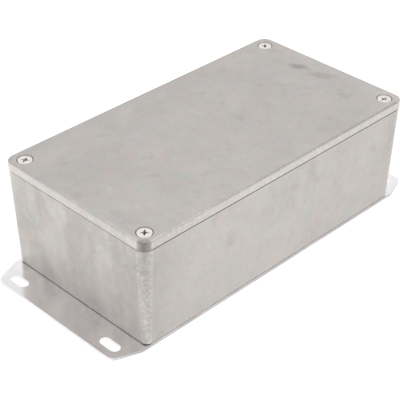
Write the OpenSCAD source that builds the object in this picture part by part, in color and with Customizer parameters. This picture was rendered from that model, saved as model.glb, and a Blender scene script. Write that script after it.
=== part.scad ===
// Die-cast aluminium box: a deep base casting, a lid held by four countersunk screws, and a sheet
// mounting plate riveted under the base, whose two tabs are slotted for fixing bolts.
// Millimetres. X runs across the box, Y along it and Z up. The origin is the centre of the
// mounting plate's underside, which is what the box stands on.

/* [Box] */
// Length over the lid
box_l = 153; // [120:1:200]
// Width over the lid
box_w = 82; // [70:1:120]
// Height of the base casting, from its foot to its rim
base_h = 46; // [28:0.5:80]
// Radius of the base's upright corners, at the foot; the draft widens it up to the rim
foot_corner_r = 2.5; // [1.2:0.1:4]
// Thickness of the base's walls, at the rim
wall_t = 2.2; // [1.6:0.1:3]
// Thickness of the base's floor
floor_t = 2.2; // [1.6:0.1:4]
// Lean of the base's outer walls, in degrees
outer_draft = 2.2; // [0.5:0.1:3]
// Lean of the inner walls, in degrees
core_draft = 2.6; // [0.5:0.1:3]
// Radius of the base's outer bottom edge
foot_r = 0.8; // [0.3:0.1:0.9]
// Chamfer round the base's rim, outside, where tumbling has worn it
rim_chamfer = 0.4; // [0.1:0.1:0.8]
// Fillet between the base's inner walls and its floor
floor_fillet_r = 1.5; // [0.5:0.1:3]

/* [Lid] */
// Height of the lid's edge, from the seam to its top face
lid_h = 4; // [3.6:0.1:6]
// Thickness of the lid's flat panel
panel_t = 2.2; // [1.6:0.1:2.8]
// How far the lid stands past the base's rim, each side
lid_overhang = 0.3; // [0:0.05:0.5]
// Lean of the lid's edge, in degrees
lid_draft = 2; // [0.5:0.5:6]
// Radius of the lid's top edge
lid_edge_r = 0.5; // [0.3:0.1:1.2]
// Chamfer round the lid's lower outer edge
lid_chamfer = 0.3; // [0.1:0.1:0.8]
// Fillet between the lid's tongue and its panel, inside
panel_fillet_r = 0.8; // [0.3:0.1:1.5]
// Depth of the locating tongue, below the seam
tongue_h = 1.8; // [1:0.1:3]
// Thickness of the locating tongue
tongue_t = 1.6; // [1:0.1:2.5]
// Gap between the tongue and the base's inner wall
tongue_gap = 0.25; // [0.1:0.05:0.5]
// Radius of the tongue's lower outer edge
tongue_edge_r = 0.4; // [0.2:0.1:0.8]

/* [Corner pillars] */
// Distance from the lid's outer edges to each screw's axis
screw_inset = 6.2; // [5.8:0.1:8]
// Radius of a pillar's inner corner, at the rim
pillar_r = 4.2; // [3.6:0.1:5.5]
// Lean of a pillar's sides, in degrees
pillar_draft = 1.5; // [0.5:0.1:2.5]
// Depth of the tapped hole in a pillar
tapped_depth = 16; // [13:0.5:22]
// Chamfer at the tapped hole's mouth
tapped_chamfer = 0.3; // [0.1:0.1:0.6]

/* [Lid screws] */
// Outside diameter of the thread, 6-32 UNC
screw_d = 3.5; // [2.9:0.1:4]
// Length of a screw, over its countersunk head
screw_l = 12.7; // [10:0.1:14]
// Chamfer at the screw's tip
tip_chamfer = 0.5; // [0.2:0.1:0.8]
// Diameter of the head
head_d = 6.1; // [5.4:0.1:6.6]
// Height of the straight land round the head
head_land = 0.25; // [0.1:0.05:0.4]
// Diameter of the countersink's mouth in the lid
sink_d = 7.2; // [6.8:0.1:7.8]
// Included angle of the countersink, in degrees
sink_angle = 82; // [80:1:90]
// Radial clearance of the screw in the lid's hole
lid_hole_gap = 0.15; // [0.05:0.05:0.25]
// Radial clearance of the thread in the tapped hole
tapped_gap = 0.05; // [0.02:0.01:0.1]
// Radial clearance of the head's cone in the countersink
seat_gap = 0.04; // [0.02:0.01:0.1]
// Width over the cross recess
cross_w = 4.1; // [3.4:0.1:4.6]
// Width of one wing of the cross recess
wing_t = 0.95; // [0.7:0.05:1.2]
// Depth of the cross recess
cross_depth = 2.0; // [1.4:0.1:2.4]
// Turn of the front left screw's recess, in degrees
turn_front_left = 30; // [0:1:89]
// Turn of the front right screw's recess, in degrees
turn_front_right = 45; // [0:1:89]
// Turn of the back left screw's recess, in degrees
turn_back_left = 45; // [0:1:89]
// Turn of the back right screw's recess, in degrees
turn_back_right = 0; // [0:1:89]

/* [Mounting plate] */
// Thickness of the sheet
plate_t = 1.2; // [0.9:0.1:2]
// How far the sheet shows past the base's foot, each side
plate_lip = 0.17; // [0:0.01:1]
// How far each tab reaches past the lid's end
tab_l = 12.3; // [11:0.1:20]
// Straight length of the sheet's side past the lid's end, before the tab narrows
tab_straight = 0; // [0:0.1:2]
// Lean of the tab's sides, in degrees
tab_taper = 20; // [5:0.5:25]
// Radius of the tab's outer corners
tab_corner_r = 3.5; // [2:0.1:5]
// Length of a fixing slot, over its round ends
slot_l = 10; // [6:0.1:12]
// Width of a fixing slot
slot_w = 4.6; // [3.5:0.1:5]
// Distance from the tab's outer edge to a slot's centre
slot_end_inset = 5.5; // [4:0.1:7]
// Distance from the sheet's long side to a slot's centre
slot_side_inset = 11.15; // [10:0.05:15]

/* [Rivets] */
// Diameter of a rivet's body
rivet_d = 3.2; // [2.4:0.1:4]
// Diameter of its countersunk head
rivet_head_d = 6; // [5:0.1:6.4]
// Diameter of its formed tail, inside the box
rivet_tail_d = 4.9; // [4.4:0.1:6]
// Height of its formed tail, above the floor
rivet_tail_h = 2.2; // [1.6:0.1:3]
// Height of its tail's straight part, above the floor
rivet_shoulder_h = 1.3; // [0.8:0.1:1.5]
// Diameter of the mandrel held in a rivet
mandrel_d = 1.8; // [1.4:0.1:2]
// Diameter of the mandrel's head
mandrel_head_d = 3; // [2.6:0.1:3.6]
// Height of the snapped end of the mandrel, above the sheet's underside
mandrel_snap_h = 1; // [0:0.1:2]
// Distance from the base's foot end to a rivet
rivet_end_inset = 18; // [14:0.5:25]
// Distance from the base's foot side to a rivet
rivet_side_inset = 18; // [14:0.5:24]
// Radial clearance of a rivet in its holes, and of a mandrel in its rivet
rivet_gap = 0.05; // [0.02:0.01:0.1]

/* [Ejector marks] */
// Diameter of the marks that the die's ejector pins leave inside
ejector_d = 6; // [4:0.5:8]
// Depth of the marks
ejector_depth = 0.2; // [0.1:0.05:0.4]
// Distance between the marks across the box
ejector_gauge = 52; // [40:1:54]
// Distance between the marks along the box
ejector_pitch = 45; // [30:1:50]

/* [Hidden] */
$fn = 64;
ARC_STEPS = 6;

// How far a cut starts outside the face that it opens in
cut = 0.5;
casting_colour = "#bfbab5";
sheet_colour = "#b9b3af";
screw_colour = "#e2ddcf";
rivet_colour = "#b4b4b1";
mandrel_colour = "#8b8d8f";

// Levels, from the ground up
floor_z = plate_t + floor_t;
seam_z = plate_t + base_h;
top_z = seam_z + lid_h;

// Radii of the upright corners, at the rim and on the lid
rim_corner_r = foot_corner_r + base_h * tan(outer_draft);
lid_corner_r = rim_corner_r + lid_overhang;

// Half sizes of the castings, and of the sheet
lid_half = [box_w, box_l] / 2;
rim_half = lid_half - lid_overhang * [1, 1];
foot_half = rim_half - base_h * tan(outer_draft) * [1, 1];
pocket_half = rim_half - wall_t * [1, 1];
plate_half = [foot_half.x + plate_lip, lid_half.y + tab_l];

// Axes that pieces share, in the back right quarter
screw_at = lid_half - screw_inset * [1, 1];
slot_at = plate_half - [slot_side_inset, slot_end_inset];
rivet_at = foot_half - [rivet_side_inset, rivet_end_inset];

front_left = [-1, -1];
front_right = [1, -1];
back_left = [-1, 1];
back_right = [1, 1];
CORNERS = [front_left, front_right, back_left, back_right];

// Puts its children at a place in one quarter of the box, mirrored so that their +X and +Y point
// away from the middle
module in_quarter(corner, at)
    translate([corner.x * at.x, corner.y * at.y, 0])
        mirror([corner.x < 0 ? 1 : 0, 0, 0])
            mirror([0, corner.y < 0 ? 1 : 0, 0]) children();

module in_each_quarter(at)
    for (corner = CORNERS) in_quarter(corner, at) children();

// ---------------------------------------------------------------- drafted castings

// Points along an arc, between two angles
function arc(centre, r, from, to) = [
    for (step = [0 : ARC_STEPS])
        let (angle = from + (to - from) * step / ARC_STEPS) centre + r * [cos(angle), sin(angle)]
];

// Half section of a casting that leaves its die upwards: reach wide at its parting line, height
// tall, its side leaning in by draft, and its far edge rounded. The edge at the parting line is
// sharp if chamfer is 0.
module drafted_edge(reach, height, draft, edge_r, chamfer) {
    centre = [reach - (height - edge_r) * tan(draft) - edge_r / cos(draft), height - edge_r];
    near_edge = chamfer > 0
        ? [[reach - chamfer, 0], [reach - chamfer * tan(draft), chamfer]]
        : [[reach, 0]];
    polygon([[0, 0], each near_edge, each arc(centre, edge_r, draft, 90), [0, height]]);
}

// That section at both sides of a plain middle, run straight along Y
module drafted_run(middle, edge_w, run, height, draft, edge_r, chamfer)
    rotate([90, 0, 0])
        linear_extrude(run, center = true)
            for (side = [0, 1])
                mirror([side, 0]) {
                    square([middle, height]);
                    translate([middle, 0]) drafted_edge(edge_w, height, draft, edge_r, chamfer);
                }

// The section swept round a rectangle with round corners: a quarter turn in each corner, whose
// radius shrinks with the draft, and straight runs between
module casting(half, round_r, height, draft, edge_r, chamfer) {
    centre = half - round_r * [1, 1];
    in_each_quarter(centre)
        rotate_extrude(angle = 90) drafted_edge(round_r, height, draft, edge_r, chamfer);
    drafted_run(centre.x, round_r, 2 * centre.y, height, draft, edge_r, chamfer);
    rotate([0, 0, 90]) drafted_run(centre.y, round_r, 2 * centre.x, height, draft, edge_r, chamfer);
}

// A pillar, round towards the middle and square towards the corner, thickening away from the
// parting line
module pillar(inner_r, height) {
    base_r = inner_r + height * tan(pillar_draft);
    reach = 2 * screw_inset;
    rotate([0, 0, 180])
        rotate_extrude(angle = 90) polygon([[0, 0], [inner_r, 0], [base_r, height], [0, height]]);
    for (swap = [0, 1])
        mirror([swap, -swap, 0])
            rotate([90, 0, 90])
                linear_extrude(reach)
                    polygon([[-inner_r, 0], [-base_r, height], [reach, height], [reach, 0]]);
}

// The room between the walls and the pillars, as wide as half at its mouth, which is at z = 0, and
// narrowing upwards. It starts one cut below its mouth, on the same slopes.
module pocket(half, post_r, depth, fillet_r) {
    flare = cut * tan(core_draft);
    middle = half - screw_inset * [1, 1];
    edge_w = screw_inset + flare;
    translate([0, 0, -cut]) difference() {
        intersection() {
            drafted_run(middle.x, edge_w, box_l, depth + cut, core_draft, fillet_r, 0);
            rotate([0, 0, 90])
                drafted_run(middle.y, edge_w, box_w, depth + cut, core_draft, fillet_r, 0);
        }
        in_each_quarter(screw_at) pillar(post_r - cut * tan(pillar_draft), depth + cut);
    }
}

// Shallow round marks of the ejector pins, sunk into a face that looks along +Z
module ejector_marks()
    for (x = [-0.5, 0.5], row = [-1 : 1])
        translate([x * ejector_gauge, row * ejector_pitch, -ejector_depth])
            cylinder(ejector_depth + cut, d = ejector_d);

// ---------------------------------------------------------------- base and lid

module base() color(casting_colour) difference() {
    translate([0, 0, seam_z]) mirror([0, 0, 1])
        casting(rim_half, rim_corner_r, base_h, outer_draft, foot_r, rim_chamfer);
    translate([0, 0, seam_z]) mirror([0, 0, 1])
        pocket(pocket_half, pillar_r, base_h - floor_t, floor_fillet_r);
    in_each_quarter(screw_at) translate([0, 0, seam_z]) tapped_hole();
    in_each_quarter(rivet_at) cylinder(floor_z + cut, r = rivet_d / 2 + rivet_gap);
    translate([0, 0, floor_z]) ejector_marks();
}

// A blind hole down from z = 0, with a drilled point and a chamfered mouth
module tapped_hole() {
    hole_r = screw_d / 2 + tapped_gap;
    drill_half_angle = 59;
    rotate_extrude() polygon([
        [0, cut], [hole_r + tapped_chamfer + cut, cut], [hole_r, -tapped_chamfer],
        [hole_r, -tapped_depth], [0, -tapped_depth - hole_r / tan(drill_half_angle)]
    ]);
}

module lid() color(casting_colour) difference() {
    translate([0, 0, seam_z]) {
        casting(lid_half, lid_corner_r, lid_h, lid_draft, lid_edge_r, lid_chamfer);
        mirror([0, 0, 1])
            pocket(
                pocket_half - tongue_gap * [1, 1], pillar_r + tongue_gap, tongue_h, tongue_edge_r
            );
    }
    translate([0, 0, seam_z - tongue_h])
        pocket(
            pocket_half - (tongue_gap + tongue_t) * [1, 1], pillar_r + tongue_gap + tongue_t,
            tongue_h + lid_h - panel_t, panel_fillet_r
        );
    in_each_quarter(screw_at) translate([0, 0, top_z]) countersink();
    translate([0, 0, top_z - panel_t]) mirror([0, 0, 1]) ejector_marks();
}

// The slope of a countersink: how much its radius shrinks for each millimetre down
sink_slope = tan(sink_angle / 2);

// The hole for a lid screw, down from z = 0
module countersink() {
    hole_r = screw_d / 2 + lid_hole_gap;
    mouth_r = sink_d / 2;
    rotate_extrude() polygon([
        [0, cut], [mouth_r + cut * sink_slope, cut], [hole_r, -(mouth_r - hole_r) / sink_slope],
        [hole_r, -lid_h - tongue_h - cut], [0, -lid_h - tongue_h - cut]
    ]);
}

// ---------------------------------------------------------------- lid screws

// How deep the head's top lies below the lid's top face
head_sink = (sink_d / 2 - seat_gap - head_d / 2) / sink_slope - head_land;
head_top_z = top_z - head_sink;

module lid_screw(corner, turn) {
    shank_r = screw_d / 2;
    head_r = head_d / 2;
    cone_h = (head_r - shank_r) / sink_slope;
    color(screw_colour) in_quarter(corner, screw_at) translate([0, 0, head_top_z]) difference() {
        rotate_extrude() polygon([
            [0, 0], [head_r, 0], [head_r, -head_land], [shank_r, -head_land - cone_h],
            [shank_r, tip_chamfer - screw_l], [shank_r - tip_chamfer, -screw_l], [0, -screw_l]
        ]);
        rotate([0, 0, turn]) cross_recess();
    }
}

// A cross recess down from z = 0: four wings whose ends close in by half towards the bottom, and a
// round core, wider than the wings at its mouth, that ends in a point
module cross_recess() {
    mouth_r = cross_w / 2;
    foot_r = mouth_r / 2;
    core_mouth_r = 1.2 * wing_t;
    core_foot_r = 0.75 * wing_t;
    point_h = core_foot_r / 2;
    flare = cut / cross_depth;
    translate([0, 0, -cross_depth]) {
        intersection() {
            cylinder(cross_depth + cut, foot_r, mouth_r + (mouth_r - foot_r) * flare);
            for (angle = [0, 90])
                rotate([0, 0, angle])
                    translate([-cross_w, -wing_t / 2, 0]) cube([2 * cross_w, wing_t, cross_depth + cut]);
        }
        cylinder(cross_depth + cut, core_foot_r, core_mouth_r + (core_mouth_r - core_foot_r) * flare);
        mirror([0, 0, 1]) cylinder(point_h, core_foot_r, 0);
    }
}

// ---------------------------------------------------------------- mounting plate

module mounting_plate() color(sheet_colour) difference() {
    linear_extrude(plate_t) difference() {
        sheet_outline();
        in_each_quarter(slot_at) slot();
    }
    in_each_quarter(rivet_at) rivet_seat();
}

// The sheet's outline: straight along the box, then tapered tabs with round outer corners. One
// quarter is worked out, mirrored across the box, and that half turned round to the other end.
module sheet_outline() {
    shoulder = [plate_half.x, lid_half.y + tab_straight];
    round_y = plate_half.y - tab_corner_r;
    round_x = shoulder.x - (tab_corner_r + (round_y - shoulder.y) * sin(tab_taper)) / cos(tab_taper);
    quarter = [shoulder, each arc([round_x, round_y], tab_corner_r, tab_taper, 90)];
    end = [each quarter, for (i = [len(quarter) - 1 : -1 : 0]) [-quarter[i].x, quarter[i].y]];
    polygon([each end, each -end]);
}

// A slot with round ends, along X
module slot() {
    straight = slot_l - slot_w;
    for (end = [-0.5, 0.5]) translate([end * straight, 0]) circle(d = slot_w);
    square([straight, slot_w], center = true);
}

// ---------------------------------------------------------------- rivets

// The cone of a rivet's head is 120 degrees
rivet_slope = tan(60);
rivet_cone_h = (rivet_head_d - rivet_d) / 2 / rivet_slope;

// The hole and the countersink for a rivet, up from the sheet's underside
module rivet_seat() {
    hole_r = rivet_d / 2 + rivet_gap;
    head_r = rivet_head_d / 2 + rivet_gap;
    rotate_extrude() polygon([
        [0, -cut], [head_r + cut * rivet_slope, -cut], [hole_r, rivet_cone_h], [hole_r, plate_t + cut],
        [0, plate_t + cut]
    ]);
}

// A blind rivet set from below: its head is flush in the sheet and its tail has spread on the floor
module rivet(corner) {
    body_r = rivet_d / 2;
    bore_r = mandrel_d / 2 + rivet_gap;
    tail_r = rivet_tail_d / 2;
    color(rivet_colour) in_quarter(corner, rivet_at) rotate_extrude() polygon([
        [bore_r, 0], [rivet_head_d / 2, 0], [body_r, rivet_cone_h], [body_r, floor_z],
        [tail_r, floor_z], [tail_r, floor_z + rivet_shoulder_h], [body_r, floor_z + rivet_tail_h],
        [bore_r, floor_z + rivet_tail_h]
    ]);
}

// What is left of a mandrel: a stub that snapped off inside the rivet, and its round head above
module mandrel(corner) {
    stub_r = mandrel_d / 2;
    head_r = mandrel_head_d / 2;
    head_z = floor_z + rivet_tail_h;
    color(mandrel_colour) in_quarter(corner, rivet_at) {
        translate([0, 0, mandrel_snap_h]) cylinder(head_z - mandrel_snap_h, r = stub_r);
        translate([0, 0, head_z]) intersection() {
            cylinder(head_r, r = head_r);
            sphere(head_r);
        }
    }
}

base();
lid();
mounting_plate();
lid_screw(front_left, turn_front_left);  // lid_screw_front_left
lid_screw(front_right, turn_front_right);  // lid_screw_front_right
lid_screw(back_left, turn_back_left);  // lid_screw_back_left
lid_screw(back_right, turn_back_right);  // lid_screw_back_right
rivet(front_left);  // rivet_front_left
rivet(front_right);  // rivet_front_right
rivet(back_left);  // rivet_back_left
rivet(back_right);  // rivet_back_right
mandrel(front_left);  // mandrel_front_left
mandrel(front_right);  // mandrel_front_right
mandrel(back_left);  // mandrel_back_left
mandrel(back_right);  // mandrel_back_right
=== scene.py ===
# %% [markdown]
# # A die-cast aluminium box on a riveted mounting plate
# The shape of every piece comes from the CAD model, which loads as a fixed frame: a base casting with
# its lid, four screws that hold the lid, and a sheet plate riveted under the base. This script gives
# them what CAD leaves out: the skin of the castings, the ground edge of the lid, the bright sheet, and
# the threads of the screws. Sizes are written in millimetres, and MM turns them into metres.

# %% Load the frame
from math import cos, pi, radians, sin, tan

import bpy
from mathutils import Matrix, Vector


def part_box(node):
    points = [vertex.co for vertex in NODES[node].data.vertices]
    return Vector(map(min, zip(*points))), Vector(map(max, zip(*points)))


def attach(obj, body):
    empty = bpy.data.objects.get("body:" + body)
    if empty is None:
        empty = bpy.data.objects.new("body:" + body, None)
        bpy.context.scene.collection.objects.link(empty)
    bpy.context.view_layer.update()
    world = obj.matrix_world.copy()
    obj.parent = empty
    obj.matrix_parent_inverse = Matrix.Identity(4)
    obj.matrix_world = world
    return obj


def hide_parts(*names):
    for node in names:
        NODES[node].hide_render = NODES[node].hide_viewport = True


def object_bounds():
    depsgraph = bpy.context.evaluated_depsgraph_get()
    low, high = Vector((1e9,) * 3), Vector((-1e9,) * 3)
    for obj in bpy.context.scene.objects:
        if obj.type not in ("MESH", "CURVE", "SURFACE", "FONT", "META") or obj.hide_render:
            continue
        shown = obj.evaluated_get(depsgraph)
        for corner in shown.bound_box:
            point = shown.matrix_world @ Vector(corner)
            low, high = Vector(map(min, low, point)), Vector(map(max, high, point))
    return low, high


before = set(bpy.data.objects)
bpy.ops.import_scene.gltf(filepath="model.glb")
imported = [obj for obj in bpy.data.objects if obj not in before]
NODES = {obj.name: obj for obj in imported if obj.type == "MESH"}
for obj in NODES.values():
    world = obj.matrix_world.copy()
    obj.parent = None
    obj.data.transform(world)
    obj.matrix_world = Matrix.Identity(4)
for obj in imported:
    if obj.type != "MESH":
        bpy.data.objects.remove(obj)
cad_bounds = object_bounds()

MM = 0.001
CORNERS = ("front_left", "front_right", "back_left", "back_right")
print("CAD nodes:", sorted(NODES))

# %% [markdown]
# ## Two helpers
# Colours are noted down as sRGB hex, as a colour picker shows them, but shaders reckon in linear
# light, so one function turns the one into the other. The other function adds a node to any tree,
# sets it up and wires its inputs: a value that is a socket is linked, any other value is set.

# %% Colours and nodes
def linear(hex_colour):
    """An sRGB colour such as '#c8c2bc' as linear RGBA."""
    channels = [int(hex_colour[i : i + 2], 16) / 255 for i in (1, 3, 5)]
    return (*[c / 12.92 if c <= 0.04045 else ((c + 0.055) / 1.055) ** 2.4 for c in channels], 1)


def add(tree, kind, inputs=None, **settings):
    """Adds a node to a tree, with its settings, and sets or links its inputs by name or number."""
    node = tree.nodes.new(kind)
    for name, value in settings.items():
        setattr(node, name, value)
    for name, value in (inputs or {}).items():
        if isinstance(value, bpy.types.NodeSocket):
            tree.links.new(value, node.inputs[name])
        else:
            node.inputs[name].default_value = value
    return node


print("half grey is", round(linear("#808080")[0], 3), "in linear light")


# %% [markdown]
# ## The camera
# A long lens from well above one corner, as a catalogue shows a box: it keeps the upright edges nearly
# parallel. The view is given by where it aims and by two angles, so it can be read and changed easily.

# %% Camera
box_low, box_high = cad_bounds
centre = (Vector(box_low) + Vector(box_high)) / 2
AIM_OFFSET = Vector((0.13, -6.89, -7.33)) * MM
AZIMUTH = radians(44.84)
ELEVATION = radians(34.14)
ROLL = radians(0.31)
DISTANCE = 528.05 * MM
LENS = 111.89
CLIP_START = 10 * MM

turn = (
    Matrix.Rotation(AZIMUTH, 3, "Z")
    @ Matrix.Rotation(pi / 2 - ELEVATION, 3, "X")
    @ Matrix.Rotation(ROLL, 3, "Z")
)
camera_data = bpy.data.cameras.new("camera")
camera_data.lens = LENS
camera_data.clip_start = CLIP_START
camera = bpy.data.objects.new("camera", camera_data)
camera.matrix_world = Matrix.Translation(
    centre + AIM_OFFSET + turn @ Vector((0, 0, DISTANCE))
) @ turn.to_4x4()
scene = bpy.context.scene
scene.collection.objects.link(camera)
scene.camera = camera
scene.view_settings.view_transform = "Standard"
print("camera at", [round(v / MM, 1) for v in camera.location], "mm")

# %% [markdown]
# ## The studio
# Bare metal has hardly any colour of its own: it shows the room. A product photographer puts such a
# part in a white tent, so the world is white wherever the camera or a reflection looks, a little less
# so overhead. Diffuse surfaces get a lower light, so that the tent doesn't burn them out.

# %% World
ROOF_LEVEL = 0.88
ROOF_HEIGHT = 0.5
FILL_LEVEL = 0.6
world = bpy.data.worlds.new("white_tent")
world.use_nodes = True
scene.world = world
tree = world.node_tree
tree.nodes.clear()
rays = add(tree, "ShaderNodeLightPath").outputs
mirrored = add(tree, "ShaderNodeMath", {0: rays["Is Camera Ray"], 1: rays["Is Glossy Ray"]},
               operation="MAXIMUM")
seen = add(tree, "ShaderNodeMath", {0: mirrored.outputs[0], 1: rays["Is Transmission Ray"]},
           operation="MAXIMUM")
height = add(tree, "ShaderNodeSeparateXYZ", {0: add(tree, "ShaderNodeTexCoord").outputs["Generated"]})
roof = add(tree, "ShaderNodeMapRange", {
    "Value": height.outputs["Z"], "From Max": ROOF_HEIGHT, "To Min": 1.0, "To Max": ROOF_LEVEL,
}, interpolation_type="SMOOTHSTEP")
level = add(tree, "ShaderNodeMath", {0: roof.outputs[0], 1: rays["Is Camera Ray"]}, operation="MAXIMUM")
fill = add(tree, "ShaderNodeBackground", {"Color": linear("#ffffff"), "Strength": FILL_LEVEL})
tent = add(tree, "ShaderNodeBackground", {"Color": linear("#ffffff"), "Strength": level.outputs[0]})
mix = add(tree, "ShaderNodeMixShader", {0: seen.outputs[0], 1: fill.outputs[0], 2: tent.outputs[0]})
add(tree, "ShaderNodeOutputWorld", {"Surface": mix.outputs[0]})
print("world:", world.name, "with", len(tree.nodes), "nodes")

# %% [markdown]
# ## The lamp
# The tent alone would leave no shadow. One large softbox above and beyond the box gives a soft one
# towards the viewer. A sun lamp would do too, but its shadow has a hard edge, which a tent never gives.

# %% Lamp
LAMP_PLACE = (0, 250, 1300)
LAMP_SIZE = 700
LAMP_POWER = 5


def softbox(name, place, size, power):
    """A square area lamp at place, in millimetres, aimed at the middle of the box."""
    data = bpy.data.lights.new(name, "AREA")
    data.size = size * MM
    data.energy = power
    lamp = bpy.data.objects.new(name, data)
    lamp.location = Vector(place) * MM
    lamp.rotation_euler = (centre - lamp.location).to_track_quat("-Z", "Y").to_euler()
    scene.collection.objects.link(lamp)
    return lamp


lamp = softbox("softbox_top", LAMP_PLACE, LAMP_SIZE, LAMP_POWER)
print("lamp:", lamp.name, LAMP_POWER, "W")

# %% [markdown]
# ## The floor
# A sheet of white paper that is lit from below, as on a light table: most of its light is its own, and
# the grey rest of it takes the shadow, which stays faint for that reason. It lies a hair below the
# plate, so that the two surfaces never fight.

# %% Floor
FLOOR_SIZE = 6000
FLOOR_GAP = 0.1
PAPER_GLOW = 0.78


def new_material(name):
    """An empty material and its node tree."""
    material = bpy.data.materials.new(name)
    material.use_nodes = True
    material.node_tree.nodes.clear()
    return material, material.node_tree


def lit_paper(name):
    """White paper on a lit table: mostly its own light, so that the object's shadow stays faint."""
    material, tree = new_material(name)
    paper = add(tree, "ShaderNodeBsdfDiffuse", {"Color": linear("#a8a8a8")})
    glow = add(tree, "ShaderNodeEmission", {"Color": linear("#ffffff"), "Strength": PAPER_GLOW})
    both = add(tree, "ShaderNodeAddShader", {0: paper.outputs[0], 1: glow.outputs[0]})
    add(tree, "ShaderNodeOutputMaterial", {"Surface": both.outputs[0]})
    return material


def flat_piece(name, corners, material):
    """A single flat face for the studio, which isn't part of the object."""
    mesh = bpy.data.meshes.new(name)
    mesh.from_pydata(corners, [], [(0, 1, 2, 3)])
    mesh.materials.append(material)
    piece = bpy.data.objects.new(name, mesh)
    scene.collection.objects.link(piece)
    return piece


half = FLOOR_SIZE / 2 * MM
floor_z = box_low[2] - FLOOR_GAP * MM
floor = flat_piece("floor", [
    (-half, -half, floor_z), (half, -half, floor_z), (half, half, floor_z), (-half, half, floor_z),
], lit_paper("lit_white_paper"))
print(floor.name, "at z", round(floor_z / MM, 2), "mm")

# %% [markdown]
# ## A grey card
# In an all-white tent a round corner has nothing to reflect, and it looks flat. A photographer then
# lays a grey card beside the box. This one lies on the floor beyond the front corner, where only that
# corner mirrors it. It is hidden from the camera and casts no shadow.

# %% Grey card
CARD_NEAR = 75
CARD_FAR = 320
CARD_SPREAD = radians(28)


def grey_paper(name):
    """Matt grey card."""
    material, tree = new_material(name)
    paper = add(tree, "ShaderNodeBsdfDiffuse", {"Color": linear("#969696")})
    add(tree, "ShaderNodeOutputMaterial", {"Surface": paper.outputs[0]})
    return material


front_corner = Vector((box_high[0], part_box("base")[0].y, floor_z + FLOOR_GAP / 2 * MM))
towards = AZIMUTH - pi / 2
rim = [
    front_corner + Vector((cos(angle), sin(angle), 0)) * reach * MM
    for reach, angle in (
        (CARD_NEAR, towards - CARD_SPREAD), (CARD_FAR, towards - CARD_SPREAD),
        (CARD_FAR, towards + CARD_SPREAD), (CARD_NEAR, towards + CARD_SPREAD),
    )
]
card = flat_piece("grey_card", rim, grey_paper("grey_card"))
card.visible_camera = False
card.visible_shadow = False
card.visible_diffuse = False
print("card corners:", [[round(v / MM) for v in corner] for corner in rim])

# %% [markdown]
# ## Patterns and masks
# A picture of the metal could be laid on every face, but it would need unwrapping and would repeat.
# Here every mark is worked out from Object coordinates in all three directions, so that it stays on
# the piece and has no seams. Two kinds of building block do that. A pattern is a noise whose size is
# given in millimetres. A zone is a mask, 1 inside and 0 outside, with soft edges. A colour is then
# toned by them: patterns swing it about its middle, and zones make it lighter or darker.

# %% Patterns and masks
Z_AXIS, Y_AXIS = 2, 1
MIDDLE = 0.5


def pattern(tree, place, size, detail=2.0, roughness=0.5, run=None, axis=Z_AXIS):
    """A noise about size millimetres wide and, if run is given, run millimetres long along one axis."""
    if run:
        shrink = [1.0, 1.0, 1.0]
        shrink[axis] = size / run
        place = add(tree, "ShaderNodeVectorMath", {0: place, 1: shrink}, operation="MULTIPLY").outputs[0]
    return add(tree, "ShaderNodeTexNoise", {
        "Vector": place, "Scale": 1 / (size * MM), "Detail": detail, "Roughness": roughness,
    }).outputs[0]


def zone(tree, *edges):
    """The product of its edges. An edge is a finished mask or number, or (value, start, end), which
    goes softly from 0 at start to 1 at end. A fourth number stands in for the 0."""
    mask = None
    for edge in edges:
        if isinstance(edge, tuple):
            value, start, end, *least = edge
            edge = add(tree, "ShaderNodeMapRange", {
                "Value": value, "From Min": start, "From Max": end, "To Min": least[0] if least else 0.0,
            }, interpolation_type="SMOOTHSTEP").outputs[0]
        if mask is not None:
            edge = add(tree, "ShaderNodeMath", {0: mask, 1: edge}, operation="MULTIPLY").outputs[0]
        mask = edge
    return mask


def toned(tree, colour, patterns=(), zones=()):
    """A colour times a factor near 1, to which each pattern and zone adds its share."""
    factor = 1 - sum(share * MIDDLE for _, share in patterns)
    for value, share in (*patterns, *zones):
        factor = add(tree, "ShaderNodeMath", {0: value, 1: share, 2: factor},
                     operation="MULTIPLY_ADD").outputs[0]
    return add(tree, "ShaderNodeVectorMath", {0: colour, 3: factor}, operation="SCALE").outputs[0]


def bare_metal(tree, colour, rough, normal=None):
    """Ends a material as bare metal."""
    inputs = {"Base Color": colour, "Metallic": 1.0, "Roughness": rough}
    if normal:
        inputs["Normal"] = normal
    metal = add(tree, "ShaderNodeBsdfPrincipled", inputs)
    add(tree, "ShaderNodeOutputMaterial", {"Surface": metal.outputs[0]})


print("a pattern swings about", MIDDLE)

# %% [markdown]
# ## The skin of the castings
# The base and the lid are high-pressure die castings in aluminium, tumbled with stones and left bare.
# Such a skin is a dull light grey. Metal that chilled first leaves soft clouds and mottles, tumbling
# leaves a fine grain with small bright dents and dark pits, and the walls carry drag marks along the
# way they left the die. Two greys that hardly differ are mixed over it, a warm and a cool one, and the
# marks tone them. Worn places, such as corners, get stronger dents.

# %% The tumbled skin
# Widths in millimetres. Real grain is about 0.2 mm wide and drag marks about 0.5 mm. That is too fine
# to show from this far off, so both are drawn as coarse as they need.
CLOUD_SIZE = 24
TINT_SIZE = 7
MOTTLE_SIZE = 4.5
GRAIN_SIZE = 1.3
DRAG_WIDTH = 2.2
DRAG_LENGTH = 14
DENT_SIZE = 1.7
STAIN_SIZE = 11
WEAR_SIZE = 1.3
SKIN_ROUGH = (0.34, 0.5)
SKIN_BUMP = 0.03 * MM
DRAG_RELIEF = 0.3
# A noise lies mostly between 0.3 and 0.7. Each pair says where in it a mark begins and is full.
TINTED = (0.36, 0.64)
BRIGHT_DENT = (0.62, 0.72)
DARK_PIT = (0.36, 0.28)
STAINED = (0.58, 0.74)
KNOCKED = (0.4, 0.62)


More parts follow.
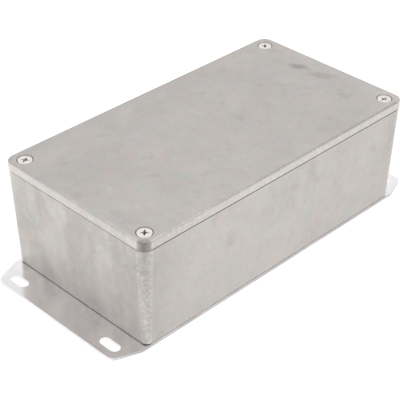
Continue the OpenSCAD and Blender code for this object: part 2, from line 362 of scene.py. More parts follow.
def tumbled_skin(tree, place, warm, cool, worn):
    """Colour, roughness and normal of the bare casting, with stronger dents where worn is above 0."""
    clouds = pattern(tree, place, CLOUD_SIZE, 5.0, 0.7)
    mottles = pattern(tree, place, MOTTLE_SIZE)
    grain = pattern(tree, place, GRAIN_SIZE)
    drag = pattern(tree, place, DRAG_WIDTH, run=DRAG_LENGTH)
    dents = pattern(tree, place, DENT_SIZE, 3.0)
    stains = pattern(tree, place, STAIN_SIZE, 4.0, 0.65)
    knocks = pattern(tree, place, WEAR_SIZE, 3.0)
    tint = zone(tree, (pattern(tree, place, TINT_SIZE, 3.0, 0.6), *TINTED))
    grey = add(tree, "ShaderNodeMix", {0: tint, 6: linear(warm), 7: linear(cool)}, data_type="RGBA")
    colour = toned(
        tree, grey.outputs[2],
        patterns=[(clouds, 0.27), (mottles, 0.12), (grain, 0.07), (drag, 0.05)],
        zones=[
            (zone(tree, (dents, *BRIGHT_DENT)), 0.11),
            (zone(tree, (dents, *DARK_PIT)), -0.10),
            (zone(tree, (stains, *STAINED)), -0.10),
            (zone(tree, worn, (knocks, *KNOCKED)), 0.18),
            (worn, -0.05),
        ],
    )
    brightest, dullest = SKIN_ROUGH
    rough = add(tree, "ShaderNodeMapRange", {"Value": grain, "To Min": brightest, "To Max": dullest})
    relief = add(tree, "ShaderNodeMath", {0: drag, 1: DRAG_RELIEF, 2: grain}, operation="MULTIPLY_ADD")
    bump = add(tree, "ShaderNodeBump", {"Height": relief.outputs[0], "Distance": SKIN_BUMP, "Strength": 1.0})
    return colour, rough.outputs[0], bump.outputs[0]


print("skin: grain", GRAIN_SIZE, "mm, dents", DENT_SIZE, "mm, clouds", CLOUD_SIZE, "mm")

# %% [markdown]
# ## Where a point lies in the plan
# Both castings have a rounded rectangle for a plan, and several marks follow it: the ground edge, the
# wear on the upright corners, the machined seats of the screws. So a material needs to know where it is
# in that plan. Folding the plan into one quarter and measuring from the centre of the corner's round
# gives two numbers: the reach grows evenly towards the outline, and the turn is above 0 only in the
# round part.

# %% The plan of the castings
ROUND_CENTRE = (36.43, 71.93)
SCREW_AXIS = (34.8, 70.3)


def from_point(tree, place, point):
    """Where a place lies from a point of the folded plan, as a flat vector in millimetres."""
    folded = add(tree, "ShaderNodeVectorMath", {0: place}, operation="ABSOLUTE")
    return add(tree, "ShaderNodeVectorMath", {
        0: folded.outputs[0], 1: (1 / MM, 1 / MM, 0), 2: (-point[0], -point[1], 0),
    }, operation="MULTIPLY_ADD").outputs[0]


def from_screw(tree, place):
    """How far a place is from the nearest screw's axis, in millimetres."""
    flat = from_point(tree, place, SCREW_AXIS)
    return add(tree, "ShaderNodeVectorMath", {0: flat}, operation="LENGTH").outputs["Value"]


def plan(tree, place):
    """Reach and turn of a place, in millimetres."""
    flat = from_point(tree, place, ROUND_CENTRE)
    outside = add(tree, "ShaderNodeVectorMath", {0: flat, 1: (0, 0, 0)}, operation="MAXIMUM")
    way_out = add(tree, "ShaderNodeVectorMath", {0: outside.outputs[0]}, operation="LENGTH")
    axes = add(tree, "ShaderNodeSeparateXYZ", {0: flat})
    larger = add(tree, "ShaderNodeMath", {0: axes.outputs[0], 1: axes.outputs[1]}, operation="MAXIMUM")
    within = add(tree, "ShaderNodeMath", {0: larger.outputs[0], 1: 0.0}, operation="MINIMUM")
    reach = add(tree, "ShaderNodeMath", {0: way_out.outputs["Value"], 1: within.outputs[0]},
                operation="ADD")
    turn = add(tree, "ShaderNodeMath", {0: axes.outputs[0], 1: axes.outputs[1]}, operation="MINIMUM")
    return reach.outputs[0], turn.outputs[0]


print("the round is centred", ROUND_CENTRE, "mm from the middle")

# %% [markdown]
# ## The base
# Tumbling batters the upright corners most, and a painted highlight runs down each side of the round.
# Painted shade darkens the crevice under the lid and the foot above the plate. On the long sides the foot is
# lightened instead, as painted light, with a painted sheen just above it. The melt entered by a short side,
# where it left tall pale and dark tongues.

# %% Base material
FOOT_Z, SEAM_Z = (corner.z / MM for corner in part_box("base"))
# How far down the painted shade under the lid reaches, in millimetres.
CREVICE = 0.62
# The foot band takes painted shade, and on the long sides painted light.
PAINTED_FOOT_HEIGHT = 0.75
# The heights above the foot between which the long sides get a painted sheen.
PAINTED_SHEEN_HEIGHTS = (1.7, 0.7)
TONGUE_WIDTH = 9
TONGUE_LENGTH = 15
TONGUE_EDGE = (0.32, 0.68, -1.0)
LINE_WIDTH = 0.6
# Where in the plan a mark lies, as the reach, the turn or the way from the round's centre.
ROUND_WEAR = (-0.9, 0.3)
SEAM_FADE = (0.5, -0.5, 0.3)
SIDE_SKIN = (0.0, 0.5)
LONG_SIDE = (1.6, 2.8)
LONG_SIDE_END = (-20, 4)


def cast_aluminium(name):
    """As-cast, tumbled aluminium alloy, bare."""
    material, tree = new_material(name)
    place = add(tree, "ShaderNodeTexCoord").outputs["Object"]
    reach, turn = plan(tree, place)
    x, y, _ = add(tree, "ShaderNodeSeparateXYZ", {0: from_point(tree, place, ROUND_CENTRE)}).outputs
    z = add(tree, "ShaderNodeVectorMath", {0: place, 1: (0, 0, 1 / MM)},
            operation="DOT_PRODUCT").outputs["Value"]
    round_part = zone(tree, (turn, *ROUND_WEAR))
    long_side = zone(tree, (x, *LONG_SIDE))
    short_side = zone(tree, (x, *reversed(LONG_SIDE)))
    off_line = add(tree, "ShaderNodeMath", {0: turn}, operation="ABSOLUTE").outputs[0]
    tongues = pattern(tree, place, TONGUE_WIDTH, 3.0, 0.6, run=TONGUE_LENGTH)
    # Painted shade in the crevice under the lid, stronger on the long sides.
    shade_under_lid = zone(tree, (turn, *SEAM_FADE), (reach, *SIDE_SKIN),
                (z, SEAM_Z - CREVICE, SEAM_Z - CREVICE / 2))
    # The foot band above the plate: painted shade, which the long sides turn into painted light.
    painted_foot_light_and_shade = zone(tree, (reach, *SIDE_SKIN), (z, FOOT_Z + PAINTED_FOOT_HEIGHT, FOOT_Z))
    # A painted sheen on the long sides, just above the foot.
    painted_foot_sheen = zone(tree, long_side, (z, *(FOOT_Z + height for height in PAINTED_SHEEN_HEIGHTS)))
    colour, rough, normal = tumbled_skin(tree, place, "#c5beba", "#c2c0bb", round_part)
    marked = toned(tree, colour, zones=[
        # A painted highlight along each side of the round.
        (zone(tree, (off_line, LINE_WIDTH, 0.0)), 0.08),
        (zone(tree, (tongues, *TONGUE_EDGE), short_side), 0.08),
        # Painted shade under the lid.
        (shade_under_lid, -0.3),
        (zone(tree, shade_under_lid, long_side), -0.38),
        # Painted shade at the foot, and painted light at the foot of the long sides.
        (painted_foot_light_and_shade, -0.45),
        (zone(tree, painted_foot_light_and_shade, round_part), -0.45),
        (zone(tree, painted_foot_light_and_shade, long_side), 1.2),
        # Painted sheen.
        (painted_foot_sheen, 0.12),
        (zone(tree, long_side, (y, *LONG_SIDE_END)), -0.08),
    ])
    bare_metal(tree, marked, rough, normal)
    return material


base_metal = cast_aluminium("cast_aluminium")
print(base_metal.name, "has", len(base_metal.node_tree.nodes), "nodes")

# %% [markdown]
# ## The ground edge of the lid
# The lid is the same casting, but its edge was dressed on a belt to take the flash off. That leaves a
# paler band round it, which reaches further over the top where the hand pressed harder. To place its
# limit, one number has to run up the side and on over the top: the height above the edge plus the way
# in from the outline does that. The limit leans with X, jumps near one end, and wanders with a noise.

# %% The ground band
# LID_REACH is how far the outline of the lid's top lies from the centre of the corner's round.
LID_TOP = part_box("lid")[1].z / MM
LID_REACH = 4.43
BAND_LIMIT = 0.9
BAND_SOFT = 0.8
BAND_LEAN = 0.018
BAND_SHIFT = -1.2
BAND_JUMP = -0.9
JUMP_AT = (-76, -60)
BAND_WANDER = 1.8
WANDER_SIZE = 14


def ground_band(tree, place, reach, x, y, z):
    """How far in over the edge a place is, in millimetres, and the mask of the ground band."""
    above = add(tree, "ShaderNodeMath", {0: z, 1: reach}, operation="SUBTRACT")
    over = add(tree, "ShaderNodeMath", {0: above.outputs[0], 1: LID_REACH - LID_TOP}, operation="ADD")
    leaning = add(tree, "ShaderNodeMath", {0: x, 1: BAND_LEAN, 2: BAND_SHIFT}, operation="MULTIPLY_ADD")
    jumping = add(tree, "ShaderNodeMath", {
        0: zone(tree, (y, *JUMP_AT)), 1: BAND_JUMP, 2: leaning.outputs[0],
    }, operation="MULTIPLY_ADD")
    limit = add(tree, "ShaderNodeMath", {
        0: pattern(tree, place, WANDER_SIZE, 4.0), 1: BAND_WANDER, 2: jumping.outputs[0],
    }, operation="MULTIPLY_ADD")
    past = add(tree, "ShaderNodeMath", {0: over.outputs[0], 1: limit.outputs[0]}, operation="SUBTRACT")
    band = zone(tree, (past.outputs[0], BAND_LIMIT + BAND_SOFT, BAND_LIMIT - BAND_SOFT))
    return over.outputs[0], band


print("lid top at z", round(LID_TOP, 2), "mm")

# %% [markdown]
# ## Smudges and a painted highlight
# Where fingers or other parts touched the top there are a few dark smudges, and one painted highlight lies
# on the edge. Each is an oval in the plan with a ragged edge: the way from its middle, counted in its own
# half sizes, plus a noise.

# %% Marks on the lid
# Each mark: its middle in the plan, its half length and half width, its turn, and its share of tone.
MARKS = (
    ((-10.1, 65.4), (4.8, 2.7), radians(31), -0.28),
    ((3.3, 67), (7.0, 3.2), radians(31), -0.14),
    # A painted highlight on the lid's top edge, left of the front corner.
    ((34.5, -76.1), (3.8, 0.9), 0.0, 0.16),
)
RAG_SIZE = 2.5
RAG_DEPTH = 1.2
RAG_EDGE = (1.75, 1.1)


def mark_mask(tree, place, middle, halves, turn):
    """1 in the middle of an oval with a ragged edge, 0 outside it."""
    turned = add(tree, "ShaderNodeVectorRotate", {
        "Vector": place, "Center": (middle[0] * MM, middle[1] * MM, 0), "Angle": -turn,
    }, rotation_type="Z_AXIS")
    counted = add(tree, "ShaderNodeVectorMath", {
        0: turned.outputs[0],
        1: (1 / (halves[0] * MM), 1 / (halves[1] * MM), 0),
        2: (-middle[0] / halves[0], -middle[1] / halves[1], 0),
    }, operation="MULTIPLY_ADD")
    way = add(tree, "ShaderNodeVectorMath", {0: counted.outputs[0]}, operation="LENGTH")
    ragged = add(tree, "ShaderNodeMath", {
        0: pattern(tree, place, RAG_SIZE), 1: RAG_DEPTH, 2: way.outputs["Value"],
    }, operation="MULTIPLY_ADD")
    return zone(tree, (ragged.outputs[0], *RAG_EDGE))


print(len(MARKS), "marks on the lid")

# %% [markdown]
# ## The lid
# Over the tumbled skin come the ground band with its bright belt scratches, a duller line just inside it,
# the marks, and the machined seats of the screws, which are darkened as painted shade and ringed by a thin
# painted highlight. The round of the front corner gets no band, but a painted dark reflection.

# %% Lid material
SEAT_RADIUS = 3.6
# The seat of each screw is darkened as painted shade, and a thin ring just outside it is a painted
# highlight.
SEAT_SHADE_EDGE = (SEAT_RADIUS + 0.05, SEAT_RADIUS - 0.15)
RIM_HIGHLIGHT_WAY = SEAT_RADIUS + 0.15
RIM_HIGHLIGHT_HALF = 0.3
BELT_SCRATCH = 0.9
SCRATCHED = (0.56, 0.66)
# Where a mark lies: along X, along Y, by its turn in the plan, or by how far in over the edge it is.
# The front round gets a painted dark reflection in place of the band; the belt pressed harder on the left,
# and hardly cleaned one dim stretch. The dull line follows the far part of the edge, and the far end is a
# little paler.
DARK_REFLECTION_TURN = (-0.1, 1.4)
FRONT_X, FRONT_Y = (20, 30), (-50, -60)
PALE_LEFT = (10, -38)
DIM_STRETCH = (-76, -74), (-10, -60)
DULL_FROM, DULL_TO = (-1.0, -0.6), (1.1, 0.3)
DULL_ALONG = (-60, -10)
DULL_ROUND = (0.5, -0.9)
# The painted dark reflection covers the front round's edge and its top, by how far in over the edge they
# are.
RIM_DARK, TOP_DARK = (1.6, 0.5), (3.4, 2.0)
FAR_END, FAR_OVER = (60, 76), (0.0, 0.5)


def cast_lid(name):
    """The bare casting with a belt-ground band round its edge."""
    material, tree = new_material(name)
    place = add(tree, "ShaderNodeTexCoord").outputs["Object"]
    reach, turn = plan(tree, place)
    in_mm = add(tree, "ShaderNodeVectorMath", {0: place, 3: 1 / MM}, operation="SCALE")
    x, y, z = add(tree, "ShaderNodeSeparateXYZ", {0: in_mm.outputs[0]}).outputs
    over, band = ground_band(tree, place, reach, x, y, z)
    # Where the front round takes a painted dark reflection instead of the ground band.
    painted_dark_corner = zone(tree, (turn, *DARK_REFLECTION_TURN), (x, *FRONT_X), (y, *FRONT_Y))
    ground = zone(tree, band, (painted_dark_corner, 1.0, 0.0))
    dull_line = zone(tree, (over, *DULL_FROM), (over, *DULL_TO))
    scratches = pattern(tree, place, BELT_SCRATCH)
    seat_way = from_screw(tree, place)
    # A thin ring of painted highlight round each seat.
    rim_highlight = add(tree, "ShaderNodeMath", {0: seat_way, 1: RIM_HIGHLIGHT_WAY, 2: RIM_HIGHLIGHT_HALF}, operation="COMPARE")
    worn = zone(tree, (turn, *ROUND_WEAR), 0.5)
    colour, rough, normal = tumbled_skin(tree, place, "#c3bcb9", "#c0beba", worn)
    marked = toned(tree, colour, zones=[
        (ground, 0.16),
        (zone(tree, ground, (x, *PALE_LEFT)), 0.13),
        (zone(tree, ground, (scratches, *SCRATCHED)), 0.2),
        (zone(tree, ground, *((y, *edge) for edge in DIM_STRETCH)), -0.07),
        (dull_line, -0.09),
        (zone(tree, dull_line, (y, *DULL_ALONG), (turn, *DULL_ROUND)), -0.21),
        # Painted shade in the seats, and the painted highlight round them.
        (zone(tree, (seat_way, *SEAT_SHADE_EDGE)), -0.32),
        (rim_highlight.outputs[0], 0.06),
        # Painted dark reflection on the front round.
        (zone(tree, painted_dark_corner, (over, *RIM_DARK)), -0.15),
        (zone(tree, painted_dark_corner, (over, *TOP_DARK)), -0.17),
        (zone(tree, (y, *FAR_END), (over, *FAR_OVER)), 0.05),
        *((mark_mask(tree, place, *oval), share) for *oval, share in MARKS),
    ])
    bare_metal(tree, marked, rough, normal)
    return material


lid_metal = cast_lid("cast_aluminium_ground_edge")
print(lid_metal.name, "has", len(lid_metal.node_tree.nodes), "nodes")

# %% [markdown]
# ## The mounting plate
# The plate is cut from rolled sheet, brighter and smoother than a casting. Rolling leaves very fine
# lines along the sheet, and handling leaves broad soft patches, so its reflections wander. The sheared
# outer sides are dull.

# %% Sheet material
# Real rolling lines are about 0.1 mm apart, too fine to show, so they are drawn wider.
ROLL_WIDTH = 0.7
ROLL_LENGTH = 30
PATCH_SIZE = 16
SPECK_SIZE = 2.2
SHEET_BUMP = 0.004 * MM
SHEET_ROUGH = (0.14, 0.24)
SHEAR_ROUGH = 0.25
WAVE_EDGE = (0.46, 0.6)
ROLL_SCRATCH = (0.62, 0.72)
CUT_FACING = (0.5, 0.8)
OUTER_SIDE = (-6.0, 1.0)


def rolled_sheet(name):
    """Rolled aluminium sheet, as cut."""
    material, tree = new_material(name)
    place = add(tree, "ShaderNodeTexCoord").outputs["Object"]
    lines = pattern(tree, place, ROLL_WIDTH, 3.0, run=ROLL_LENGTH, axis=Y_AXIS)
    patches = pattern(tree, place, PATCH_SIZE, 3.0, 0.6)
    facing = add(tree, "ShaderNodeVectorMath", {
        0: add(tree, "ShaderNodeNewGeometry").outputs["True Normal"],
    }, operation="ABSOLUTE")
    facing_x, facing_y, _ = add(tree, "ShaderNodeSeparateXYZ", {0: facing.outputs[0]}).outputs
    outer = add(tree, "ShaderNodeSeparateXYZ", {0: from_point(tree, place, ROUND_CENTRE)}).outputs[0]
    sheared = zone(tree, (facing_x, *CUT_FACING), (outer, *OUTER_SIDE))
    grey = add(tree, "ShaderNodeMix", {
        0: patches, 6: linear("#faf5f9"), 7: linear("#f8f8f8"),
    }, data_type="RGBA")
    colour = toned(
        tree, grey.outputs[2],
        patterns=[
            (lines, 0.08), (zone(tree, (patches, *WAVE_EDGE)), 0.07),
            (pattern(tree, place, SPECK_SIZE), 0.02),
        ],
        zones=[
            (zone(tree, (lines, *ROLL_SCRATCH)), 0.05), (sheared, -0.4),
            (zone(tree, (facing_y, *CUT_FACING)), -0.08),
        ],
    )
    brightest, dullest = SHEET_ROUGH
    smooth = add(tree, "ShaderNodeMapRange", {
        "Value": patches, "From Min": 0.3, "From Max": 0.7, "To Min": brightest, "To Max": dullest,
    })
    rough = add(tree, "ShaderNodeMath", {0: sheared, 1: SHEAR_ROUGH, 2: smooth.outputs[0]},
                operation="MULTIPLY_ADD")
    bump = add(tree, "ShaderNodeBump", {"Height": lines, "Distance": SHEET_BUMP, "Strength": 1.0})
    bare_metal(tree, colour, rough.outputs[0], bump.outputs[0])
    return material


plate_metal = rolled_sheet("rolled_aluminium_sheet")
print(plate_metal.name, "has", len(plate_metal.node_tree.nodes), "nodes")

# %% [markdown]
# ## The metal of the screws
# The screws are steel with a nickel plating: bright and faintly warm on the head, darker down in the recess,
# which is painted shade with some packed dirt, and dull on the thread. The same mask, how far below the
# head's top a point lies, does both.

# %% Screw material
HEAD_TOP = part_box("lid_screw_front_left")[1].z / MM
RECESS_RADIUS = 2.15
SPOT_SIZE = 0.6
PLATING_BUMP = 0.01 * MM
PLATING_ROUGH = (0.24, 0.5)
# Depths below the head's top, and ways from the axis, in millimetres.
RECESS_SHADE_DEPTH = (0.1, 0.5)
RECESS_EDGE = (RECESS_RADIUS + 0.2, RECESS_RADIUS)
SHANK_DEPTH = (1.6, 2.4)
HEAD_RIM = (2.85, 3.05)


def plated_steel(name):
    """Nickel-plated steel screw, with painted shade and some packed dirt in its cross recess."""
    material, tree = new_material(name)
    place = add(tree, "ShaderNodeTexCoord").outputs["Object"]
    way = from_screw(tree, place)
    depth = add(tree, "ShaderNodeVectorMath", {0: place, 1: (0, 0, -1 / MM)}, operation="DOT_PRODUCT")
    below = add(tree, "ShaderNodeMath", {0: depth.outputs["Value"], 1: HEAD_TOP}, operation="ADD").outputs[0]
    # The recess is darkened as painted shade, with some packed dirt; the thread below is dull as it is.
    recess_shade_and_dirt = zone(tree, (below, *RECESS_SHADE_DEPTH), (way, *RECESS_EDGE))
    shank = zone(tree, (below, *SHANK_DEPTH))
    recess_shade_and_dull_thread = add(tree, "ShaderNodeMath", {0: recess_shade_and_dirt, 1: shank}, operation="MAXIMUM").outputs[0]
    grey = add(tree, "ShaderNodeMix", {
        0: recess_shade_and_dull_thread, 6: linear("#f7f1ed"), 7: linear("#d0cabf"),
    }, data_type="RGBA")
    spots = pattern(tree, place, SPOT_SIZE, 3.0)
    colour = toned(tree, grey.outputs[2], patterns=[(spots, 0.16)],
                   zones=[(zone(tree, (way, *HEAD_RIM)), -0.1)])
    bright, dull = PLATING_ROUGH
    rough = add(tree, "ShaderNodeMapRange", {"Value": recess_shade_and_dull_thread, "To Min": bright, "To Max": dull})
    bump = add(tree, "ShaderNodeBump", {"Height": spots, "Distance": PLATING_BUMP, "Strength": 1.0})
    bare_metal(tree, colour, rough.outputs[0], bump.outputs[0])
    return material


screw_metal = plated_steel("nickel_plated_steel")
print(screw_metal.name, "has", len(screw_metal.node_tree.nodes), "nodes")

# %% [markdown]
# ## The metal of the rivets
# The blind rivets are drawn aluminium, and the stubs of the mandrels left inside them are plain steel
# wire. Both were pulled through a die, which leaves streaks along the wire.

# %% Rivet and mandrel materials
WIRE_STREAK = 0.4
WIRE_RUN = 3.33
WIRE_WEAR = 0.8
WEAR_ROUGH = 0.15


def drawn_metal(name, light, dark, rough):
    """Drawn wire or a headed rivet: streaks along Z, and small spots."""
    material, tree = new_material(name)
    place = add(tree, "ShaderNodeTexCoord").outputs["Object"]
    streaks = pattern(tree, place, WIRE_STREAK, 3.0, run=WIRE_RUN)
    colour = add(tree, "ShaderNodeMix", {0: streaks, 6: linear(dark), 7: linear(light)}, data_type="RGBA")
    worn = add(tree, "ShaderNodeMapRange", {
        "Value": pattern(tree, place, WIRE_WEAR), "To Min": rough, "To Max": rough + WEAR_ROUGH,
    })
    bare_metal(tree, colour.outputs[2], worn.outputs[0])
    return material


rivet_metal = drawn_metal("drawn_aluminium", "#cfd0cf", "#b4b4b2", 0.32)
mandrel_metal = drawn_metal("drawn_steel", "#a3a4a5", "#76787a", 0.38)
print("made", rivet_metal.name, "and", mandrel_metal.name)

# %% [markdown]
# ## The lid screws
# The lid is held by four 6-32 UNC machine screws with countersunk heads and cross recesses, nickel
# plated. A thread could be swept along a helix and merged with a shank, which leaves fine overlaps. It
# is simpler to bend one flat grid into the whole screw: its columns go round the axis, its rows go
# down it, and each point's radius follows from its height and its angle. A thread is then just a
# profile that climbs by one pitch a turn. All four screws come from one Geometry Nodes tree, with its
# sizes as named inputs, and the CAD solids give their places.

# %% The tree's inputs
SCREW_SIZES = {
    "Length": 12.7 * MM,
    "Thread Radius": 1.75 * MM,
    "Root Radius": 1.27 * MM,
    "Neck Radius": 1.5 * MM,
    "Pitch": 25.4 / 32 * MM,
    "Tip Chamfer": 0.5 * MM,
    "Head Radius": 3.05 * MM,
    "Head Land": 0.25 * MM,
    "Head Edge": 0.1 * MM,
    "Cone Slope": tan(radians(82 / 2)),
    "Neck Start": 2.6 * MM,
    "Recess Radius": RECESS_RADIUS * MM,
    "Recess Core": 0.85 * MM,
    "Recess Depth": 1.7 * MM,
    "Wing Flatness": 0.26,
    "Turn": 0.0,
}
ROWS = 127
COLUMNS = 48

screw_tree = bpy.data.node_groups.new("machine_screw", "GeometryNodeTree")
for name, value in SCREW_SIZES.items():
    socket = screw_tree.interface.new_socket(name, in_out="INPUT", socket_type="NodeSocketFloat")
    socket.default_value = value
screw_tree.interface.new_socket("Place", in_out="INPUT", socket_type="NodeSocketVector")
screw_tree.interface.new_socket("Metal", in_out="INPUT", socket_type="NodeSocketMaterial")
screw_tree.interface.new_socket("Mesh", in_out="OUTPUT", socket_type="NodeSocketGeometry")
sizes_in = add(screw_tree, "NodeGroupInput").outputs
print("screw inputs:", [socket.name for socket in sizes_in if socket.name])

# %% [markdown]
# ## The turned shape
# The radius is worked out in a short table, one line of arithmetic a row, in which a later line may
# use the names of the earlier ones. Z is 0 at the head's top and falls towards the tip. The thread's
# profile is a triangle wave cut off at crest and root. It fades into a plain neck under the head, the
# tip is chamfered, and the head's cone wins wherever it is wider.

# %% The screw's turned shape
FLANK_STEEPNESS = 3.2
FLANK_START = -0.35
WELD = 0.002 * MM
grid = add(screw_tree, "GeometryNodeMeshGrid", {
    "Size X": 1.0, "Size Y": float(ROWS + 2), "Vertices X": COLUMNS + 1, "Vertices Y": ROWS + 3,
})
spot = add(screw_tree, "ShaderNodeSeparateXYZ", {0: add(screw_tree, "GeometryNodeInputPosition").outputs[0]})
known = {socket.name: socket for socket in sizes_in}
known["column"], known["row"] = spot.outputs["X"], spot.outputs["Y"]
for name, operation, *terms in (
    ("angle", "MULTIPLY", "column", 2 * pi),
    ("from tip", "ADD", "row", ROWS / 2),
    ("not below", "MAXIMUM", "from tip", 0.0),
    ("not above", "MINIMUM", "not below", float(ROWS)),
    ("share", "DIVIDE", "not above", float(ROWS)),
    ("up", "MULTIPLY", "share", "Length"),
    ("z", "SUBTRACT", "up", "Length"),
    ("turns", "DIVIDE", "z", "Pitch"),
    ("phase", "SUBTRACT", "turns", "column"),
    ("wave", "PINGPONG", "phase", 0.5),
    ("steep", "MULTIPLY_ADD", "wave", FLANK_STEEPNESS, FLANK_START),
    ("floored", "MAXIMUM", "steep", 0.0),
    ("profile", "MINIMUM", "floored", 1.0),
    ("thread depth", "SUBTRACT", "Thread Radius", "Root Radius"),
    ("threaded", "MULTIPLY_ADD", "profile", "thread depth", "Root Radius"),
    ("below head", "MULTIPLY", "z", -1.0),
    ("run-out", "SUBTRACT", "below head", "Neck Start"),
    ("run-out turns", "DIVIDE", "run-out", "Pitch"),
    ("run-out floor", "MAXIMUM", "run-out turns", 0.0),
    ("faded in", "MINIMUM", "run-out floor", 1.0),
    ("over neck", "SUBTRACT", "threaded", "Neck Radius"),
    ("shank", "MULTIPLY_ADD", "over neck", "faded in", "Neck Radius"),
    ("tip edge", "SUBTRACT", "Thread Radius", "Tip Chamfer"),
    ("tip cone", "ADD", "tip edge", "up"),
    ("shank and tip", "MINIMUM", "shank", "tip cone"),
    ("below land", "ADD", "z", "Head Land"),
    ("cone", "MULTIPLY_ADD", "below land", "Cone Slope", "Head Radius"),
    ("head", "MINIMUM", "cone", "Head Radius"),
    ("whole", "MAXIMUM", "shank and tip", "head"),
    ("edge start", "SUBTRACT", "Head Radius", "Head Edge"),
    ("edge cone", "ADD", "edge start", "below head"),
    ("outside", "MINIMUM", "whole", "edge cone"),
    ("far from middle", "ABSOLUTE", "row"),
    ("is side", "LESS_THAN", "far from middle", ROWS / 2 + 0.5),
    ("radius", "MULTIPLY", "outside", "is side"),
    ("cosine", "COSINE", "angle"),
    ("sine", "SINE", "angle"),
    ("x", "MULTIPLY", "radius", "cosine"),
    ("y", "MULTIPLY", "radius", "sine"),
):
    inputs = {number: known.get(term, term) for number, term in enumerate(terms)}
    known[name] = add(screw_tree, "ShaderNodeMath", inputs, operation=operation).outputs[0]
bent = add(screw_tree, "ShaderNodeCombineXYZ", {"X": known["x"], "Y": known["y"], "Z": known["z"]})
turned = add(screw_tree, "GeometryNodeSetPosition", {
    "Geometry": grid.outputs["Mesh"], "Position": bent.outputs[0],
})
closed = add(screw_tree, "GeometryNodeMergeByDistance", {"Geometry": turned.outputs[0], "Distance": WELD})
print("grid:", COLUMNS, "columns,", ROWS, "rows")

# %% [markdown]
# ## The cross recess
# The recess is stamped in the real head by a punch with four wings and a conical nose. The same punch
# is made here from two flat four-sided cones, instanced at right angles, and a round one, and it is
# taken out of the head with a Boolean. Its wings end in points, as worn punches leave them.

# %% The cross recess
# The punch stands CLEAR of its own size above the head, so that the cut has no skin left over it.
CLEAR = 0.25
CORE_SIDES = 24
FINE_WELD = 0.001 * MM
punch_sizes = {}
for name, source, share in (
    ("mouth", "Recess Radius", 1 + CLEAR),
    ("height", "Recess Depth", 1 + CLEAR),
    ("sunk", "Recess Depth", -1.0),
    ("wing foot", "Recess Radius", 0.5),
    ("core mouth", "Recess Core", 1.2),
    ("core foot", "Recess Core", 0.6),
):
    product = add(screw_tree, "ShaderNodeMath", {0: sizes_in[source], 1: share}, operation="MULTIPLY")
    punch_sizes[name] = product.outputs[0]
wing = add(screw_tree, "GeometryNodeMeshCone", {
    "Vertices": 4, "Radius Top": punch_sizes["mouth"], "Radius Bottom": punch_sizes["wing foot"],
    "Depth": punch_sizes["height"],
})
core = add(screw_tree, "GeometryNodeMeshCone", {
    "Vertices": CORE_SIDES, "Radius Top": punch_sizes["core mouth"],
    "Radius Bottom": punch_sizes["core foot"], "Depth": punch_sizes["height"],
})
quarter_turns = add(screw_tree, "ShaderNodeMath", {
    0: add(screw_tree, "GeometryNodeInputIndex").outputs[0], 1: pi / 2,
}, operation="MULTIPLY")
wing_turn = add(screw_tree, "ShaderNodeCombineXYZ", {"Z": quarter_turns.outputs[0]})
wing_scale = add(screw_tree, "ShaderNodeCombineXYZ", {"X": 1.0, "Y": sizes_in["Wing Flatness"], "Z": 1.0})
spokes = add(screw_tree, "GeometryNodeInstanceOnPoints", {
    "Points": add(screw_tree, "GeometryNodePoints", {"Count": 2}).outputs[0],
    "Instance": wing.outputs["Mesh"],
    "Rotation": add(screw_tree, "FunctionNodeEulerToRotation", {0: wing_turn.outputs[0]}).outputs[0],
    "Scale": wing_scale.outputs[0],
})
wings = add(screw_tree, "GeometryNodeRealizeInstances", {0: spokes.outputs[0]})
punch_place = add(screw_tree, "ShaderNodeCombineXYZ", {"Z": punch_sizes["sunk"]})
punch_turn = add(screw_tree, "ShaderNodeCombineXYZ", {"Z": sizes_in["Turn"]})
body = closed.outputs[0]
for tool in (wings.outputs[0], core.outputs["Mesh"]):
    punch = add(screw_tree, "GeometryNodeTransform", {
        "Geometry": tool, "Translation": punch_place.outputs[0],
        "Rotation": add(screw_tree, "FunctionNodeEulerToRotation", {0: punch_turn.outputs[0]}).outputs[0],
    })
    stamped = add(screw_tree, "GeometryNodeMeshBoolean", {
        0: body, 1: punch.outputs[0], "Self Intersection": True,
    }, operation="DIFFERENCE", solver="EXACT")
    body = stamped.outputs[0]
welded = add(screw_tree, "GeometryNodeMergeByDistance", {"Geometry": body, "Distance": FINE_WELD})
print("recess from", list(punch_sizes))

# %% [markdown]
# ## Shading, place and material
# The edges of the head and the recess stay crisp and the thread's flanks are shaded smoothly: an edge
# is sharp where its faces meet at more than 40 degrees. The tree then moves the screw to its place,
# makes real faces of it and gives it its metal.

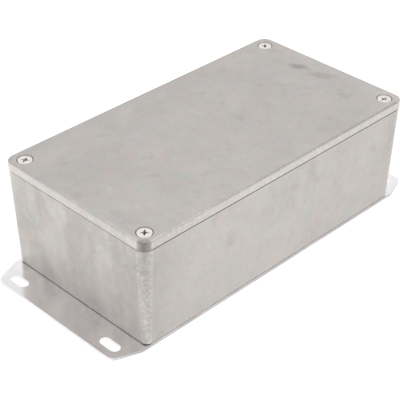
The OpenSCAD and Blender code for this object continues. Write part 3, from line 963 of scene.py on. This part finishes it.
# %% Shading, place and material
SHARP = radians(40)
sharp = add(screw_tree, "FunctionNodeCompare", {
    0: add(screw_tree, "GeometryNodeInputMeshEdgeAngle").outputs["Unsigned Angle"], 1: SHARP,
}, operation="GREATER_THAN")
smooth = add(screw_tree, "GeometryNodeSetShadeSmooth", {
    "Geometry": welded.outputs[0], "Shade Smooth": True,
}, domain="FACE")
crisp = add(screw_tree, "GeometryNodeSetShadeSmooth", {
    "Geometry": smooth.outputs[0], "Selection": sharp.outputs[0], "Shade Smooth": False,
}, domain="EDGE")
placed = add(screw_tree, "GeometryNodeTransform", {
    "Geometry": crisp.outputs[0], "Translation": sizes_in["Place"],
})
realized = add(screw_tree, "GeometryNodeRealizeInstances", {0: placed.outputs[0]})
finished = add(screw_tree, "GeometryNodeSetMaterial", {
    "Geometry": realized.outputs[0], "Material": sizes_in["Metal"],
})
add(screw_tree, "NodeGroupOutput", {"Mesh": finished.outputs[0]})
print("screw tree has", len(screw_tree.nodes), "nodes")

# %% [markdown]
# ## The four screws
# Each screw takes its length, its head's width and its place from the plain screw of the CAD model,
# and stops turning at an angle of its own, as a screwdriver leaves it. The tree could stay live on the
# object, but a plain mesh travels better, so its result is kept and the modifier goes.

# %% The four screws
TURNS = {"front_left": 30, "front_right": 45, "back_left": 45, "back_right": 0}
input_ids = {
    item.name: item.identifier for item in screw_tree.interface.items_tree if item.in_out == "INPUT"
}


def lid_screw(corner, metal):
    """Grows one screw in its place and bakes it to a plain mesh."""
    node = "lid_screw_" + corner
    low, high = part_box(node)
    screw = bpy.data.objects.new("threaded_" + node, bpy.data.meshes.new("threaded_" + node))
    scene.collection.objects.link(screw)
    modifier = screw.modifiers.new("machine_screw", "NODES")
    modifier.node_group = screw_tree
    modifier[input_ids["Length"]] = high.z - low.z
    modifier[input_ids["Head Radius"]] = (high.x - low.x) / 2
    modifier[input_ids["Turn"]] = radians(TURNS[corner])
    modifier[input_ids["Place"]] = ((low.x + high.x) / 2, (low.y + high.y) / 2, high.z)
    modifier[input_ids["Metal"]] = metal
    grown = screw.evaluated_get(bpy.context.evaluated_depsgraph_get())
    plain = bpy.data.meshes.new_from_object(grown)
    screw.modifiers.clear()
    screw.data = plain
    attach(screw, "screw_" + corner)
    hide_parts(node)
    return screw


for corner in CORNERS:
    screw = lid_screw(corner, screw_metal)
    print(screw.name, len(screw.data.polygons), "faces")

# %% [markdown]
# ## Dressing the pieces
# The castings, the plate, the rivets and the mandrels keep their CAD meshes, and each takes its finish
# in its material slot. Nothing is laid over them, so what shows is the true shape.

# %% Put the materials on
finishes = {"base": base_metal, "lid": lid_metal, "mounting_plate": plate_metal}
for corner in CORNERS:
    finishes["rivet_" + corner] = rivet_metal
    finishes["mandrel_" + corner] = mandrel_metal
for node, material in finishes.items():
    slots = NODES[node].data.materials
    slots.clear()
    slots.append(material)
print("dressed:", sorted(finishes))
